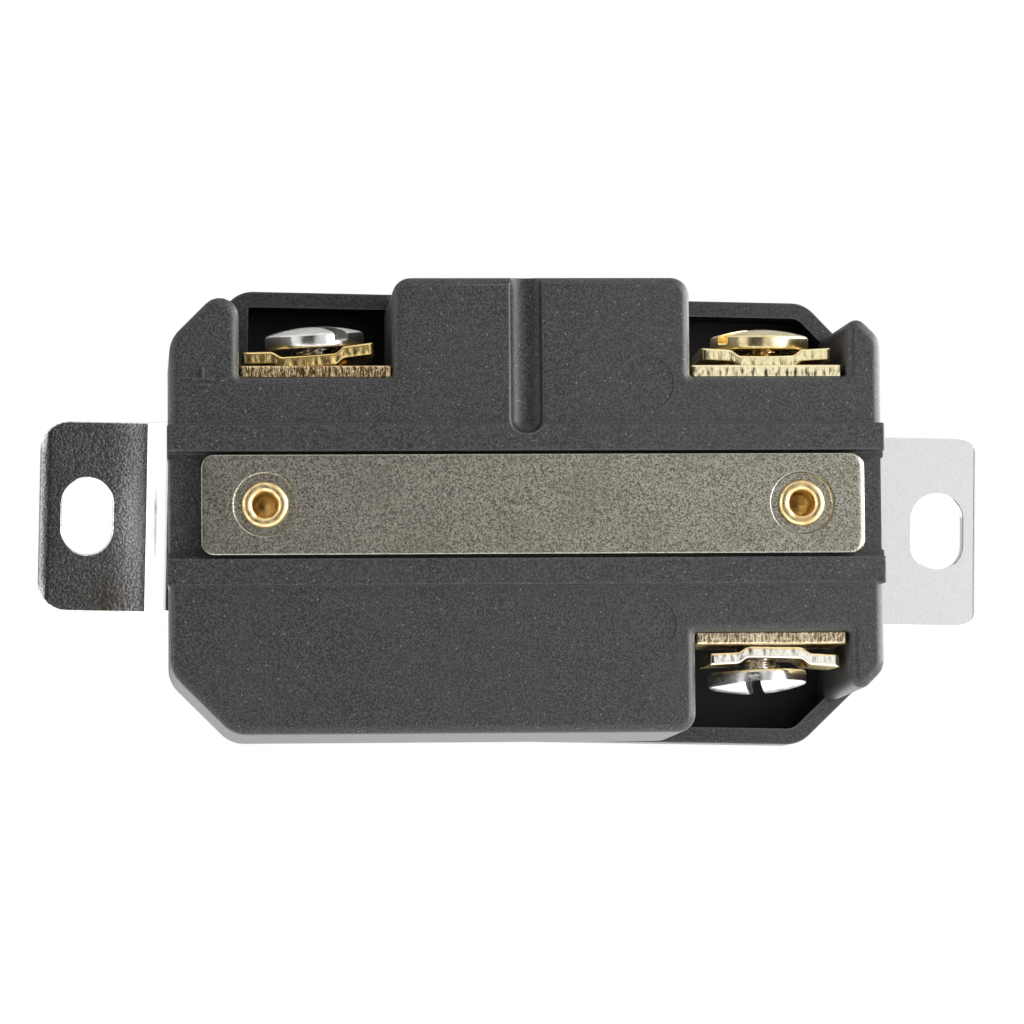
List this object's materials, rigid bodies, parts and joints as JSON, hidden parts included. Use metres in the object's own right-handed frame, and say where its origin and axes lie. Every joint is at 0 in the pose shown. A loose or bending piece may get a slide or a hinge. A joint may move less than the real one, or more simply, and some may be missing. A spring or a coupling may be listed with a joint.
{
  "type": "locking power receptacle",
  "caption": "Strap-mounted round locking power receptacle with arc blade slots, side terminal screws with clamp plates, a riveted tie bar and a moulded nylon body.",
  "frame": {"origin": "centre of the mating face, the flat front of the round boss", "axes": "+X along the mounting strap, +Y out of the mating face towards the plug, +Z across the strap, towards the side with two terminal screws"},
  "size_m": [0.0926, 0.0377, 0.0434],
  "materials": {
    "housing_nylon": "moulded glass-filled nylon, dark grey, fine speckle, matt",
    "strap_zinc": "bright zinc-plated steel, reflective with fine rolling marks",
    "bar_nickel": "dull nickel-plated steel, fine speckle",
    "rivet_brass": "plain brass, bright on the rolled rim",
    "contact_brass": "rolled brass strip with rough sheared edges",
    "screw_nickel": "bright nickel-plated steel",
    "screw_brass": "bright brass-plated"
  },
  "bodies": {
    "device": {"rear_housing": "housing_nylon", "front_housing": "housing_nylon", "face_cover": "housing_nylon", "mounting_strap": "strap_zinc", "tie_bar": "bar_nickel", "tie_rivet_left": "rivet_brass", "tie_rivet_right": "rivet_brass", "terminal_plate_ground": "contact_brass", "terminal_plate_hot": "contact_brass", "terminal_plate_neutral": "contact_brass", "contact_clip_ground": "contact_brass", "contact_clip_hot": "contact_brass", "contact_clip_neutral": "contact_brass", "contact_rivet_ground": "contact_brass", "contact_rivet_hot": "contact_brass", "contact_rivet_neutral": "contact_brass", "ground_link": "contact_brass", "ground_link_rivet": "rivet_brass"},
    "ground_clamp": {"clamp_plate_ground": "contact_brass"},
    "ground_screw": {"terminal_screw_ground": "screw_nickel"},
    "hot_clamp": {"clamp_plate_hot": "contact_brass"},
    "hot_screw": {"terminal_screw_hot": "screw_brass"},
    "neutral_clamp": {"clamp_plate_neutral": "contact_brass"},
    "neutral_screw": {"terminal_screw_neutral": "screw_nickel"}
  },
  "joints": [
    {"name": "ground_clamp_lift", "type": "slide", "parent": "device", "child": "ground_clamp", "axis": [-0.0766, -0.087, 0.9933], "range_m": [0, 0.003]},
    {"name": "ground_screw_turn", "type": "hinge", "parent": "ground_clamp", "child": "ground_screw", "pos_m": [-0.02021, -0.0292, 0.01455], "axis": [-0.0766, -0.087, 0.9933], "range_deg": [0, 1361]},
    {"name": "hot_clamp_lift", "type": "slide", "parent": "device", "child": "hot_clamp", "axis": [-0.0227, -0.0523, 0.9984], "range_m": [0, 0.003]},
    {"name": "hot_screw_turn", "type": "hinge", "parent": "hot_clamp", "child": "hot_screw", "pos_m": [0.02146, -0.0291, 0.01513], "axis": [-0.0227, -0.0523, 0.9984], "range_deg": [0, 1361]},
    {"name": "neutral_clamp_lift", "type": "slide", "parent": "device", "child": "neutral_clamp", "axis": [0.0645, -0.0349, -0.9973], "range_m": [0, 0.0026]},
    {"name": "neutral_screw_turn", "type": "hinge", "parent": "neutral_clamp", "child": "neutral_screw", "pos_m": [0.02154, -0.02908, -0.01492], "axis": [0.0645, -0.0349, -0.9973], "range_deg": [0, 1180]}
  ],
  "couplings": [
    {"joint": "ground_screw_turn", "follows": "ground_clamp_lift", "rad_per_m": 7915.8},
    {"joint": "hot_screw_turn", "follows": "hot_clamp_lift", "rad_per_m": 7915.8},
    {"joint": "neutral_screw_turn", "follows": "neutral_clamp_lift", "rad_per_m": 7915.8}
  ]
}
